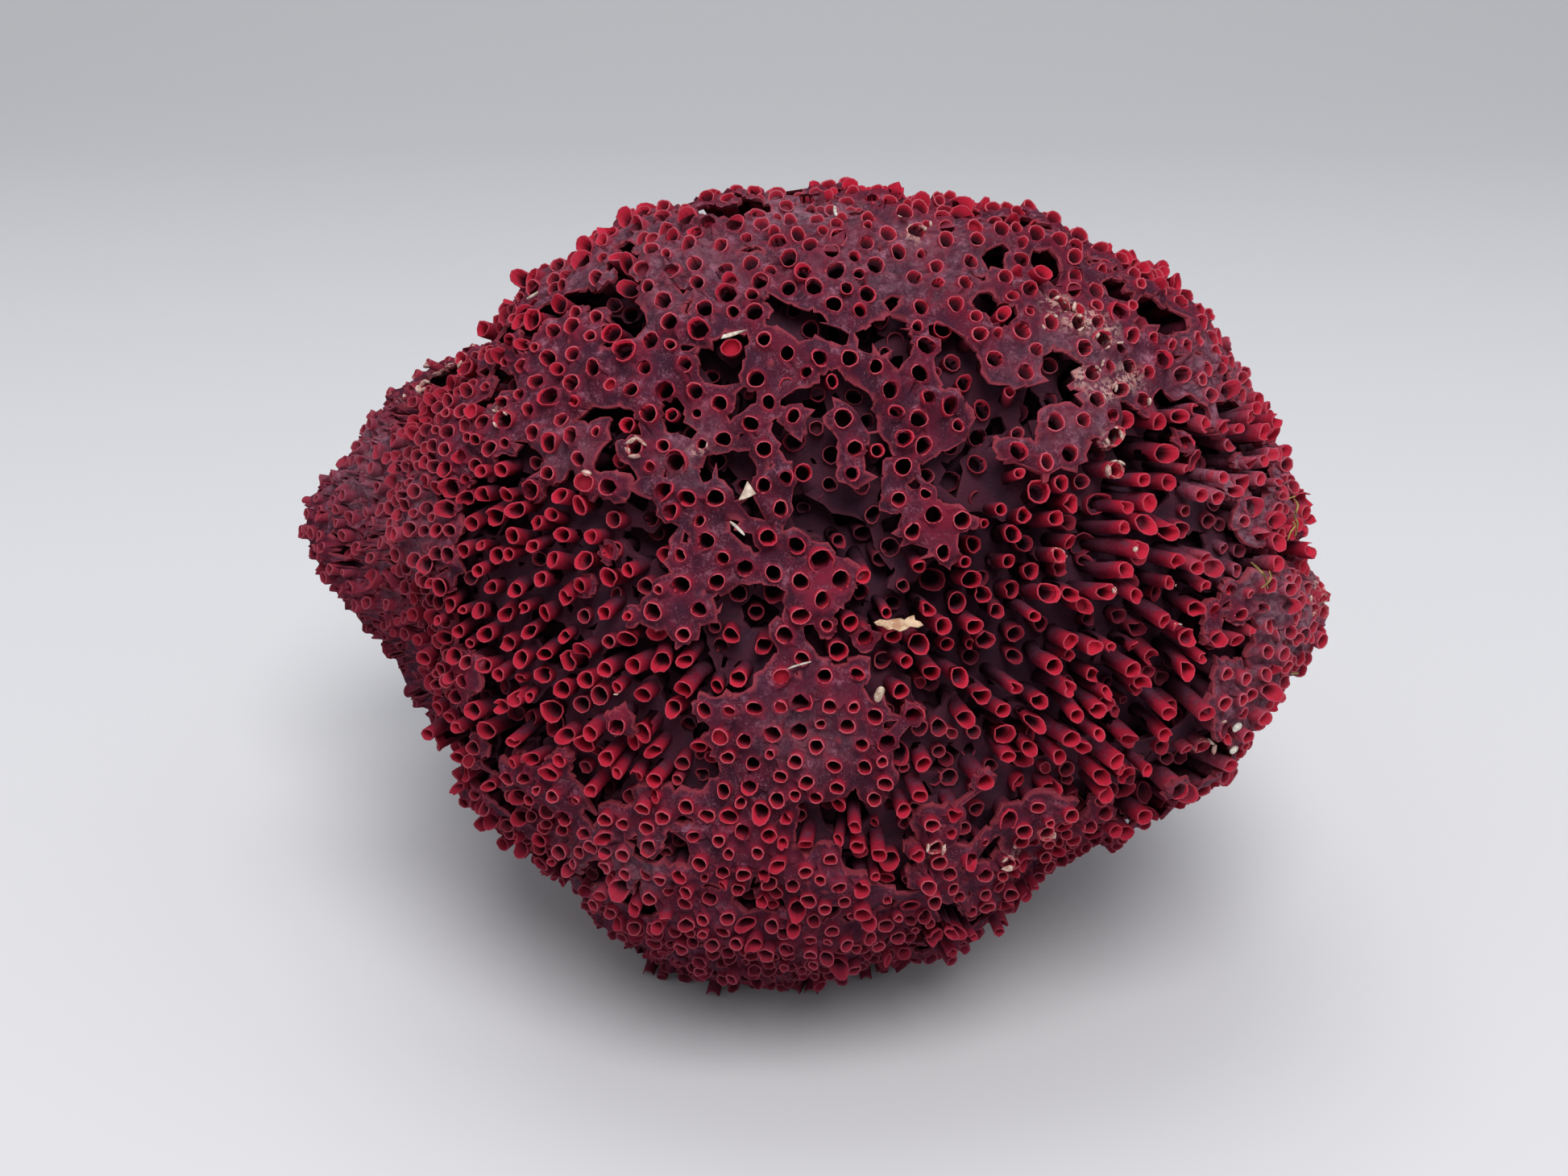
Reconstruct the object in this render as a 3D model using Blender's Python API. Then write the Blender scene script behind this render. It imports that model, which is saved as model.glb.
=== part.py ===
# Organ-pipe coral specimen: one grown colony of parallel tubes tied together by
# thin cross plates.  This file models the colony's outer form as a solid that
# reaches the tube tips: a broad lumpy dome, a lower lobe at its rear left, an
# undercut rim and a short foot that is cut off flat where it rests.
#
# Metres, +Z up.  The dome's best side faces -Y.  The origin is on the flat cut,
# under the middle of the dome.

import math

import bpy
import bmesh
from mathutils import Vector, noise

MM = 0.001

# ---------------------------------------------------------------- dimensions
CENTRE_Z = 50.0 * MM          # height of the growth centre over the flat cut
TILT_DEG = 24.5               # the outline plane leans back by this angle
FRONT_DEPTH = 47.0 * MM       # growth centre to the foremost tube tips
REAR_DEPTH = 45.0 * MM        # growth centre to the rearmost tube tips
FACE_POWER = 2.9              # above 2 the front face is flatter, its shoulders fuller
OUTLINE_SCALE = 0.972         # takes back what fuller shoulders add to the outline
BLEND = 2.2 * MM              # softness of the valleys between lobes
SWELL_SIZE = 11.0 * MM        # spacing of the low swellings on the surface
SWELL_HEIGHT = 1.5 * MM       # height of those swellings
BUMP_SIZE = 5.5 * MM          # spacing of the smaller bumps
BUMP_HEIGHT = 0.8 * MM        # height of the smaller bumps
SPHERE_DETAIL = 5             # subdivisions of the ball the form starts from

# Outline radius about the growth centre, in millimetres, each 10 degrees
# counter-clockwise from +X, measured in the leaning outline plane.
OUTLINE_MM = (
    59.5, 57.5, 56.0, 54.0, 51.0, 48.0, 46.0, 42.5, 42.0, 41.5,
    41.0, 42.0, 44.5, 44.5, 46.5, 47.0, 48.5, 51.0, 51.5, 49.0,
    49.0, 51.5, 53.0, 52.0, 53.5, 55.5, 55.0, 54.5, 52.5, 53.5,
    50.5, 50.5, 54.0, 58.0, 59.5, 61.5,
)

# Lobes that grew out of the dome: centre and half sizes in millimetres.
LOBES_MM = (
    ((-36.0, 20.5, 43.0), (27.0, 25.0, 25.0)),     # rear left lobe
    ((-50.0, 19.0, 43.5), (16.0, 15.0, 9.5)),      # its outermost shelf
    ((-30.0, 20.0, 30.0), (26.0, 23.0, 22.0)),     # lower part of that lobe
    ((18.0, 18.0, 54.0), (31.0, 28.5, 27.0)),      # low swelling at the back
    ((-4.5, -2.5, 6.0), (24.5, 23.5, 14.0)),       # foot
    ((4.0, 3.0, 5.0), (19.0, 19.5, 13.0)),         # its rear right part
)

COLONY_COLOUR = (0.235, 0.020, 0.035, 1.0)
COLONY_ROUGHNESS = 0.72


# ---------------------------------------------------------------- the form
def outline_radius(angle):
    """Smooth closed curve through the outline radii."""
    count = len(OUTLINE_MM)
    place = (angle / math.tau * count) % count
    i = int(math.floor(place))
    t = place - i
    p0, p1, p2, p3 = (OUTLINE_MM[(i + k) % count] for k in (-1, 0, 1, 2))
    value = 0.5 * (2.0 * p1 + (p2 - p0) * t
                   + (2.0 * p0 - 5.0 * p1 + 4.0 * p2 - p3) * t * t
                   + (3.0 * p1 - p0 - 3.0 * p2 + p3) * t * t * t)
    return value * OUTLINE_SCALE * MM


def dome_radius(way):
    """Distance from the growth centre to the dome's surface along a direction."""
    tilt = math.radians(TILT_DEG)
    into = way.y * math.cos(tilt) - way.z * math.sin(tilt)
    up = way.y * math.sin(tilt) + way.z * math.cos(tilt)
    across = math.hypot(way.x, up)
    rim = outline_radius(math.atan2(up, way.x))
    depth, power = (REAR_DEPTH, 2.0) if into > 0.0 else (FRONT_DEPTH, FACE_POWER)
    return ((across / rim) ** power + (abs(into) / depth) ** power) ** (-1.0 / power)


def lobe_radius(way, centre, half):
    """Far crossing of a lobe along a direction from the growth centre."""
    c = Vector((centre[0] * MM, centre[1] * MM, centre[2] * MM - CENTRE_Z))
    h = [v * MM for v in half]
    a = sum((way[k] / h[k]) ** 2 for k in range(3))
    b = sum(way[k] * c[k] / h[k] ** 2 for k in range(3))
    d = sum((c[k] / h[k]) ** 2 for k in range(3)) - 1.0
    inner = b * b - a * d
    if inner <= 0.0:
        return 0.0
    return (b + math.sqrt(inner)) / a


def surface_radius(way):
    """Dome and lobes blended, with the low swellings of the tube clusters."""
    reach = [dome_radius(way)]
    reach += [lobe_radius(way, centre, half) for centre, half in LOBES_MM]
    top = max(reach)
    radius = top + BLEND * math.log(sum(math.exp((r - top) / BLEND) for r in reach))
    point = way * radius
    radius += SWELL_HEIGHT * noise.noise(point / SWELL_SIZE)
    radius += BUMP_HEIGHT * noise.noise(point / BUMP_SIZE + Vector((7.3, 1.9, 4.1)))
    return radius


# ---------------------------------------------------------------- scene
for old in list(bpy.data.objects):
    bpy.data.objects.remove(old, do_unlink=True)

parts = bpy.data.collections.new("organ_pipe_coral")
bpy.context.scene.collection.children.link(parts)
cutters = bpy.data.collections.new("cutters")
bpy.context.scene.collection.children.link(cutters)


def new_material(name, colour, roughness, metallic=0.0):
    material = bpy.data.materials.new(name)
    material.use_nodes = True
    shader = material.node_tree.nodes["Principled BSDF"]
    shader.inputs["Base Color"].default_value = colour
    shader.inputs["Roughness"].default_value = roughness
    shader.inputs["Metallic"].default_value = metallic
    material.diffuse_color = colour
    return material


# The colony: a ball whose points are carried out to the grown surface.
mesh = bpy.data.meshes.new("coral_colony")
bm = bmesh.new()
bmesh.ops.create_icosphere(bm, subdivisions=SPHERE_DETAIL, radius=1.0)
for vert in bm.verts:
    direction = vert.co.normalized()
    vert.co = direction * surface_radius(direction) + Vector((0.0, 0.0, CENTRE_Z))
bm.normal_update()
bm.to_mesh(mesh)
bm.free()
mesh.shade_smooth()
mesh.set_sharp_from_angle(angle=math.radians(50.0))

colony = bpy.data.objects.new("coral_colony", mesh)
parts.objects.link(colony)
colony.data.materials.append(
    new_material("coral_red", COLONY_COLOUR, COLONY_ROUGHNESS))

# The flat cut that it rests on: everything under z = 0 is taken off.
block = bpy.data.meshes.new("base_cut")
bm = bmesh.new()
bmesh.ops.create_cube(bm, size=1.0)
bmesh.ops.scale(bm, vec=Vector((0.20, 0.20, 0.04)), verts=bm.verts)
bmesh.ops.translate(bm, vec=Vector((0.0, 0.0, -0.02)), verts=bm.verts)
bm.to_mesh(block)
bm.free()
base_cut = bpy.data.objects.new("base_cut", block)
base_cut.hide_render = True
base_cut.display_type = "WIRE"
cutters.objects.link(base_cut)

cut = colony.modifiers.new("flat_base", "BOOLEAN")
cut.operation = "DIFFERENCE"
cut.solver = "EXACT"
cut.object = base_cut
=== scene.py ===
import math

import bpy
import bmesh
import numpy as np
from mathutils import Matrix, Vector, noise
from mathutils.geometry import delaunay_2d_cdt
from mathutils.kdtree import KDTree


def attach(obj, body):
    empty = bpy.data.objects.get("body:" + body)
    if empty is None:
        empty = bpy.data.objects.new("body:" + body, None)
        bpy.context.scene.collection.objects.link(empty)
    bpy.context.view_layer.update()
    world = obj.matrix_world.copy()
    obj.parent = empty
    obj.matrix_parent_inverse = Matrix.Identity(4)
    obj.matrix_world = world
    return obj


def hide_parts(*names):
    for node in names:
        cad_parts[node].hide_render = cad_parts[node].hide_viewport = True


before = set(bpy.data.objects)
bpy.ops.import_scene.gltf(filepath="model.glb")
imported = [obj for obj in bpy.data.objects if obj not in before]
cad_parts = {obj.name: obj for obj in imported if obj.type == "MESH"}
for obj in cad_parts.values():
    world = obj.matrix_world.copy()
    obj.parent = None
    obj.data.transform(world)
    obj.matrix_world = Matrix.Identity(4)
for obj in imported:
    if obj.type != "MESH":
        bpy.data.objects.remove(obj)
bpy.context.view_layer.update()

RNG = np.random.default_rng(20117)
MM = 0.001

# ------------------------------------------------------------------ the form
# The same outer form as the solid: outline radii about the growth centre in a
# plane that leans back, a front and a rear depth, and ellipsoid lobes.
TILT = math.radians(24.5)
RIGHT = np.array([1.0, 0.0, 0.0])
UP = np.array([0.0, math.sin(TILT), math.cos(TILT)])
INTO = np.array([0.0, math.cos(TILT), -math.sin(TILT)])
CENTRE = np.array([0.0, 0.0, 50.0])
FRONT_DEPTH, REAR_DEPTH, FACE_POWER, OUTLINE_SCALE, BLEND = 47.0, 45.0, 2.9, 0.972, 2.2
OUTLINE = np.array([
    59.5, 57.5, 56.0, 54.0, 51.0, 48.0, 46.0, 42.5, 42.0, 41.5,
    41.0, 42.0, 44.5, 44.5, 46.5, 47.0, 48.5, 51.0, 51.5, 49.0,
    49.0, 51.5, 53.0, 52.0, 53.5, 55.5, 55.0, 54.5, 52.5, 53.5,
    50.5, 50.5, 54.0, 58.0, 59.5, 61.5])
LOBES = (
    ((-36.0, 20.5, 43.0), (27.0, 25.0, 25.0)),
    ((-50.0, 19.0, 43.5), (16.0, 15.0, 9.5)),
    ((-30.0, 20.0, 30.0), (26.0, 23.0, 22.0)),
    ((18.0, 18.0, 54.0), (31.0, 28.5, 27.0)),
    ((-4.5, -2.5, 6.0), (24.5, 23.5, 14.0)),
    ((4.0, 3.0, 5.0), (19.0, 19.5, 13.0)),
)


def unit(v):
    return v / np.maximum(np.linalg.norm(v, axis=-1, keepdims=True), 1e-12)


def perlin(p, size, shift=(0.0, 0.0, 0.0)):
    q = np.asarray(p) / size + np.asarray(shift)
    return np.array([noise.noise(v) for v in q.tolist()])


def ease(lo, hi, x):
    t = np.clip((x - lo) / (hi - lo), 0.0, 1.0)
    return t * t * (3.0 - 2.0 * t)


def outline(angle):
    count = len(OUTLINE)
    place = (angle / math.tau * count) % count
    i = np.floor(place).astype(int) % count
    t = place - np.floor(place)
    p0, p1, p2, p3 = (OUTLINE[(i + k) % count] for k in (-1, 0, 1, 2))
    return 0.5 * (2 * p1 + (p2 - p0) * t + (2 * p0 - 5 * p1 + 4 * p2 - p3) * t * t
                  + (3 * p1 - p0 - 3 * p2 + p3) * t ** 3)


def plain_radius(n):
    a, u, x = n @ INTO, n @ UP, n[:, 0]
    depth, power = np.where(a > 0.0, REAR_DEPTH, FRONT_DEPTH), np.where(a > 0.0, 2.0, FACE_POWER)
    rim = outline(np.arctan2(u, x)) * OUTLINE_SCALE
    reach = [((np.hypot(x, u) / rim) ** power + (np.abs(a) / depth) ** power) ** (-1.0 / power)]
    for centre, half in LOBES:
        c, h = np.array(centre) - CENTRE, np.array(half)
        qa = ((n / h) ** 2).sum(1)
        qb = (n * c / h ** 2).sum(1)
        qd = ((c / h) ** 2).sum() - 1.0
        inner = qb * qb - qa * qd
        reach.append(np.where(inner > 0.0, (qb + np.sqrt(np.maximum(inner, 0.0))) / qa, 0.0))
    reach = np.array(reach)
    top = reach.max(0)
    return top + BLEND * np.log(np.exp((reach - top) / BLEND).sum(0))


def radius(n):
    r = plain_radius(n)
    p = n * r[:, None]
    return r + 1.5 * perlin(p, 11.0) + 0.8 * perlin(p, 5.5, (7.3, 1.9, 4.1))


def normal(n):
    """Outward normal of the form along directions n."""
    side = unit(np.cross(n, np.where(np.abs(n[:, 2:3]) < 0.9, [[0, 0, 1.0]], [[1.0, 0, 0]])))
    other = np.cross(n, side)
    e = 0.03
    pts = []
    for k in (side, other):
        for s in (e, -e):
            m = unit(n + s * k)
            pts.append(m * plain_radius(m)[:, None])
    g = unit(np.cross(pts[0] - pts[1], pts[2] - pts[3]))
    return g * np.sign((g * n).sum(1))[:, None]


# ------------------------------------------------------------------ the view
LENS, SENSOR, DISTANCE = 50.0, 36.0, 262.0
TARGET = CENTRE - 3.6 * RIGHT - 6.31 * UP
EYE = TARGET - DISTANCE * INTO
WIDE, HIGH = 1946.0, 1460.0


def drawing(p):
    """Where a point falls on the front drawing, 1946 by 1460 units."""
    q = p - EYE
    depth = q @ INTO
    f = LENS / SENSOR * WIDE
    return WIDE / 2 + f * (q @ RIGHT) / depth, HIGH / 2 - f * (q @ UP) / depth


# ------------------------------------------------------------------ how the surface is worn
# Three cross plates matter: the outer one near the tube tips, the next one a few
# millimetres under it, and an inner one.  Patches on the front drawing say where
# the outer plate is kept (positive weight) or lost (negative): x, y, half width,
# half height, weight.
PATCHES = (
    (780, 340, 185, 95, 1.0), (840, 520, 120, 115, 1.2), (1100, 330, 115, 100, 1.0),
    (1130, 500, 85, 65, 0.9), (1320, 470, 95, 95, 1.0), (965, 555, 42, 50, 1.4),
    (1172, 652, 40, 44, 2.6), (1020, 725, 38, 42, 2.4), (980, 925, 108, 90, 2.0),
    (920, 1130, 210, 120, 0.85), (1585, 850, 80, 120, 1.2), (650, 530, 110, 100, 0.8),
    (440, 690, 95, 220, 0.9), (700, 1010, 105, 70, 0.75), (1290, 1050, 55, 42, 0.8),
    (1200, 1130, 65, 58, 0.8), (1470, 400, 110, 95, 0.8), (1150, 262, 230, 42, 0.8),
    (560, 840, 28, 38, 1.8), (890, 670, 60, 45, 1.0), (850, 770, 60, 45, 0.9),
    (760, 885, 28, 24, 2.4), (950, 650, 40, 45, 1.2),
    (1330, 790, 240, 195, -1.7), (1490, 560, 130, 62, -1.3), (760, 890, 150, 105, -1.1),
    (645, 745, 105, 165, -1.0), (1060, 1075, 85, 45, -1.1), (1080, 740, 65, 60, -1.2),
    (930, 720, 40, 40, -0.5), (1190, 580, 60, 30, -1.0), (1260, 620, 90, 45, -1.2),
    (990, 480, 90, 40, -0.7), (1210, 400, 50, 60, -0.6), (700, 600, 60, 60, -0.5),
)
# Where tubes stand free of the outer plate: x, y, half width, half height, share of
# tubes that still reach the surface, weight for the next plate, its depth in mm.
FANS = (
    (1330, 790, 250, 200, 0.66, -0.70, 7.4), (1490, 560, 135, 68, 0.72, -0.3, 6.0),
    (760, 890, 150, 105, 0.76, -0.2, 6.0), (645, 745, 110, 170, 0.86, 0.30, 5.2),
    (1060, 1075, 85, 50, 0.66, -0.2, 5.5), (1080, 740, 65, 60, 0.45, -0.6, 6.0),
    (450, 690, 100, 210, 0.76, 0.40, 5.0),
)
# Deep breaks where the tubes are gone: x, y, half width, half height, depth in mm.
BREAKS = (
    (1030, 648, 58, 38, 10.5), (1105, 410, 28, 30, 8.0), (905, 575, 26, 26, 8.0),
    (1225, 602, 58, 28, 8.0), (1275, 505, 36, 30, 7.5), (1388, 780, 36, 36, 8.0),
    (1030, 1032, 34, 24, 8.0), (770, 668, 34, 24, 7.0), (735, 560, 20, 20, 6.0),
    (1180, 985, 26, 20, 6.0), (660, 905, 28, 20, 6.0), (1010, 500, 20, 24, 6.0),
    (985, 400, 22, 14, 5.0), (880, 460, 30, 12, 5.0),
)
# Raised plates on the front drawing: x, y, half width, half height, lift in mm.
RAISED = (
    (980, 925, 120, 98, 1.1), (965, 555, 45, 52, 1.0), (1172, 652, 48, 48, 1.4),
    (1020, 725, 45, 45, 1.6), (840, 520, 130, 120, 0.3), (760, 885, 40, 40, 1.2),
    (560, 840, 40, 50, 0.9), (1320, 470, 90, 90, 0.5), (1130, 500, 85, 65, -0.5),
    (920, 1130, 210, 110, 0.3),
)


# Broken pieces of plate that are fresh and red: x, y, half width, half height.
FRESH = ((1020, 725, 36, 40), (760, 885, 30, 26), (560, 840, 26, 34), (1172, 640, 38, 34))
# Where pale dust has settled: x, y, half width, half height, weight.
DUSTY = (
    (1545, 600, 95, 80, 0.9), (1600, 770, 60, 80, 0.9), (1570, 870, 90, 110, 0.45),
    (440, 570, 90, 90, 0.7), (500, 650, 80, 120, 0.4), (740, 1085, 120, 60, 0.45),
    (1500, 960, 70, 45, 0.6), (980, 262, 120, 28, 0.9), (860, 560, 60, 60, 0.35),
    (1330, 480, 110, 120, 0.35), (1000, 915, 80, 60, 0.30), (700, 560, 60, 50, 0.25),
    (800, 320, 190, 90, 0.50), (1120, 320, 170, 70, 0.35), (1540, 690, 70, 60, 0.8),
    (1520, 470, 80, 90, 0.65),
)
# Chalky crusts: x, y, half width, half height on the front drawing, lumps, size in mm.
CRUSTS = (
    (1135, 290, 14, 12, 5, 0.34), (1310, 378, 22, 16, 4, 0.34), (1345, 398, 34, 18, 7, 0.36),
    (1375, 415, 16, 14, 3, 0.30), (1400, 468, 24, 16, 5, 0.34), (1340, 465, 16, 12, 3, 0.30),
    (1370, 485, 26, 14, 4, 0.32), (1380, 548, 16, 14, 4, 0.36), (1387, 575, 12, 20, 5, 0.36),
    (1508, 935, 16, 20, 3, 0.38), (1160, 1058, 10, 8, 2, 0.34), (1262, 1066, 12, 10, 5, 0.36),
    (1298, 1040, 10, 8, 2, 0.28), (480, 492, 18, 12, 5, 0.42), (532, 456, 28, 14, 9, 0.48),
    (560, 446, 18, 14, 6, 0.44), (574, 430, 12, 14, 5, 0.44), (620, 512, 12, 10, 3, 0.30),
    (868, 560, 14, 8, 3, 0.20), (1452, 716, 12, 8, 2, 0.18), (1318, 692, 10, 8, 1, 0.18),
    (1465, 762, 12, 8, 2, 0.18), (1640, 735, 14, 30, 4, 0.34), (745, 848, 9, 8, 3, 0.30),
)


def patch(x, y, cx, cy, rx, ry, soft=(0.65, 1.35)):
    return 1.0 - ease(soft[0], soft[1], np.hypot((x - cx) / rx, (y - cy) / ry))


def field(table, p, soft):
    """Strength of a table of places at points; 0 where none reaches."""
    x, y = drawing(p)
    out = np.zeros(len(p))
    for row in table:
        weight = row[4] if table is DUSTY else 1.0
        out = np.maximum(out, weight * patch(x, y, *row[:4], soft))
    return out


def crowd(p, face):
    """One where the tubes of the front are slender and close together."""
    x, y = drawing(p)
    out = np.maximum(ease(860.0, 1000.0, y - 0.25 * (x - 900.0) * (x > 1100.0)), 0.8 * ease(640.0, 540.0, x))
    out = np.maximum(out, 0.7 * ease(1490.0, 1570.0, x))
    out = np.maximum(out, 0.6 * patch(x, y, 650, 720, 130, 200))
    out = np.maximum(out, 0.4 * patch(x, y, 1330, 800, 240, 200))
    return out * (face > -0.2)


def facing(n):
    return ease(0.02, 0.28, -(normal(n) @ INTO))


def outer_score(n, p):
    """Above zero where the outer plate is still there."""
    x, y = drawing(p)
    front = -0.10 - 0.30 * ease(780.0, 980.0, y)
    for cx, cy, rx, ry, weight in PATCHES:
        front += weight * patch(x, y, cx, cy, rx, ry)
    front = np.clip(front, -2.2, 1.15)
    for cx, cy, rx, ry, _ in BREAKS:
        front -= 3.2 * patch(x, y, cx, cy, rx, ry, (0.45, 1.45))
    wander = perlin(p, 15.0, (3.0, 8.0, 2.0))
    tear = perlin(p, 6.2, (4.0, 4.0, 1.0))
    nick = perlin(p, 3.3, (1.0, 7.0, 3.0))
    back = 0.10 + 1.8 * wander + 1.3 * tear + 0.9 * nick
    w = facing(n)
    score = w * (front + 0.4 * wander + 1.6 * tear + 1.05 * nick) + (1 - w) * back
    score = score - 1.6 * cliff(p) * (1 - crowd(p, w))
    return np.where(p[:, 2] < 3.0, np.maximum(score, 0.6 + 1.2 * perlin(p, 5.0)), score)


def fan_fields(n, p):
    """Share of free tubes that reach the surface, next plate's weight and depth."""
    x, y = drawing(p)
    w = facing(n)
    loose = ease(0.10, 0.45, perlin(p, 15.0, (3.0, 8.0, 2.0)) * -1.0)
    share = np.where(w > 0.5, 0.26, 0.28 + 0.30 * loose)
    weight = np.where(w > 0.5, 0.05, 0.45 - 0.7 * loose)
    depth = 5.0 + 1.6 * w
    for cx, cy, rx, ry, s, b, d in FANS:
        k = patch(x, y, cx, cy, rx, ry, (0.7, 1.15)) * w
        share = share + (s - share) * k
        weight = weight + (b - weight) * k
        depth = depth + (d - depth) * k
    return share, weight, depth


def next_score(n, p):
    """Above zero where the next plate down is still there."""
    _, weight, _ = fan_fields(n, p)
    x, y = drawing(p)
    cut = 0.0 * x
    for cx, cy, rx, ry, _ in BREAKS:
        cut = np.maximum(cut, patch(x, y, cx, cy, rx, ry, (0.55, 1.0)))
    tear = 1.5 * perlin(p, 6.4, (6.0, 1.0, 7.0)) + 0.5 * perlin(p, 3.3, (6.0, 4.0, 7.0))
    return weight + tear - 4.0 * cut * facing(n)


def inner_score(n, p):
    return 0.55 + 1.5 * perlin(p, 7.0, (8.0, 3.0, 3.0)) - 3.0 * (break_depth(n, p) > 7.0)


def break_depth(n, p):
    """How far below the form the tubes are broken off, in mm."""
    x, y = drawing(p)
    front = np.zeros(len(p))
    for cx, cy, rx, ry, depth in BREAKS:
        front = np.maximum(front, depth * patch(x, y, cx, cy, rx, ry, (0.45, 1.15)))
    back = 9.0 * ease(0.46, 0.58, perlin(p, 11.0, (9.0, 2.0, 6.0)))
    w = facing(n)
    out = w * front + (1 - w) * back
    return np.where(p[:, 2] < 4.0, 0.0, out)


def steps(p):
    """Height in growth terraces, before it is rounded to whole steps."""
    return 2.6 * perlin(p, 14.0, (11.0, 4.0, 2.0)) + 0.5


def terrace(p):
    """Growth terraces: nearly flat treads with short steep steps between them."""
    s = steps(p)
    whole = np.floor(s)
    return whole + ease(0.0, 0.16, s - whole) - 1.0


def cliff(p):
    """One on the step between two terraces, where the plate is often torn."""
    s = steps(p)
    part = s - np.floor(s)
    return 1.0 - ease(0.03, 0.15, np.minimum(part, 1.0 - part))


def outer_depth(n, p):
    """Depth of the outer plate under the form, in mm."""
    x, y = drawing(p)
    lift = np.zeros(len(p))
    for cx, cy, rx, ry, h in RAISED:
        lift += h * patch(x, y, cx, cy, rx, ry, (0.7, 1.2))
    w = facing(n)
    rough = 0.9 * perlin(p, 7.0, (2.0, 2.0, 5.0)) + 0.6 * perlin(p, 3.4, (2.0, 6.0, 5.0))
    c = crowd(p, w)
    crust = 1.6 * c * (1 - ease(0.10, 0.45, w))
    return np.maximum(2.3 + 1.1 * c - crust + rough - 0.8 * (1 - c) * terrace(p) - w * lift, 0.7)


def next_depth(n, p):
    _, _, depth = fan_fields(n, p)
    rough = 1.1 * perlin(p, 9.0, (5.0, 2.0, 1.0)) + 0.5 * perlin(p, 3.4, (2.0, 3.0, 5.0))
    return np.maximum(depth + rough, outer_depth(n, p) + 2.2 + 0.8 * facing(n))


def inner_depth(n, p):
    return 10.0 + 1.3 * perlin(p, 12.0, (6.0, 1.0, 3.0))


# ------------------------------------------------------------------ the tubes
GROWTH = np.array([1.0, 1.5, 0.75])


def tube_way(p, face):
    """Direction of growth at a point of the form: the tubes fan out, those of the
    broad face less than its normals do."""
    toward = (40.0 + 32.0 * ease(22.0, 42.0, -p[:, 0])) * ease(-0.55, 0.25, face)
    way = unit((p - CENTRE) * GROWTH - INTO * toward[:, None])
    lean = np.stack([perlin(p, 17.0, (s, 2 * s, 5.0)) for s in (1.7, 5.1, 8.3)], 1)
    return unit(way + 0.22 * lean)


def scatter(count):
    n = unit(RNG.normal(size=(count, 3)))
    r = radius(n)
    nn = normal(n)
    w = r ** 2 / np.clip((n * nn).sum(1), 0.35, 1.0)
    keep = RNG.random(count) < w / np.percentile(w, 97)
    n, r = n[keep], r[keep]
    return n, CENTRE + n * r[:, None]


class Grid:
    """Finds whether a point has a neighbour closer than a gap."""

    def __init__(self, cell):
        self.cell, self.box = cell, {}

    def near(self, p, gap):
        kx, ky, kz = (int(math.floor(v / self.cell)) for v in p)
        for i in (-1, 0, 1):
            for j in (-1, 0, 1):
                for k in (-1, 0, 1):
                    for q in self.box.get((kx + i, ky + j, kz + k), ()):
                        if (q[0] - p[0]) ** 2 + (q[1] - p[1]) ** 2 + (q[2] - p[2]) ** 2 < gap * gap:
                            return True
        return False

    def add(self, p):
        key = tuple(int(math.floor(v / self.cell)) for v in p)
        self.box.setdefault(key, []).append(p)


grid = Grid(2.75)
spots, small = [], []
n_all, p_all = scatter(260000)
c_all = crowd(p_all, -(normal(n_all) @ INTO))
order_all = list(zip(n_all.tolist(), p_all.tolist(), c_all.tolist()))
half = len(order_all) // 2
for n, p, c in order_all[:half]:
    if not grid.near(p, 2.58 - 0.42 * c):
        grid.add(p)
        spots.append((n, p))
        small.append(False)
for n, p, c in order_all[half:]:
    if not grid.near(p, 2.14 - 0.30 * c):
        grid.add(p)
        spots.append((n, p))
        small.append(True)
T_N = np.array([s[0] for s in spots])
T_P = np.array([s[1] for s in spots])
T_SMALL = np.array(small)
COUNT = len(T_P)
T_NORMAL = normal(T_N)
T_FACE = -(T_NORMAL @ INTO)
T_CROWD = crowd(T_P, T_FACE)
T_D = unit(tube_way(T_P, T_FACE) + 0.05 * RNG.normal(size=(COUNT, 3)))
steep = np.maximum(0.45 - (T_D * T_NORMAL).sum(1), 0.0)
T_D = unit(T_D + 1.3 * steep[:, None] * T_NORMAL)
T_R = np.where(T_SMALL, RNG.uniform(0.56, 0.76, COUNT), RNG.uniform(0.80, 1.02, COUNT))
T_R = T_R * (1.0 - 0.13 * T_CROWD)
T_E1 = unit(np.cross(T_D, np.where(np.abs(T_D[:, 2:3]) < 0.8, [[0, 0, 1.0]], [[1.0, 0, 0]])))
T_E2 = np.cross(T_D, T_E1)
T_OVAL = np.stack([0.13 * RNG.random(COUNT) ** 1.5, RNG.uniform(0, 6.3, COUNT),
                   0.065 * RNG.random(COUNT), RNG.uniform(0, 6.3, COUNT)], 1)
print("tubes:", COUNT)


def oval(which, phi):
    """How far from round each tube is, around its turn."""
    a, b, c, d = (T_OVAL[which, k][:, None] for k in range(4))
    return 1 + a * np.cos(2 * phi + b) + c * np.cos(3 * phi + d)


def reach_level(p, d, depth_of, start):
    """Distance back along each tube to where it meets a level under the form."""
    s = np.full(len(p), start)
    for _ in range(5):
        q = p - d * s[:, None] - CENTRE
        far = np.linalg.norm(q, axis=1)
        n = unit(q)
        r = radius(n)
        depth = depth_of(n, CENTRE + n * r[:, None])
        s = np.clip(s + (far - (r - depth)) / np.clip((n * d).sum(1), 0.45, 1.0), 0.3, 18.0)
    return s


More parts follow.
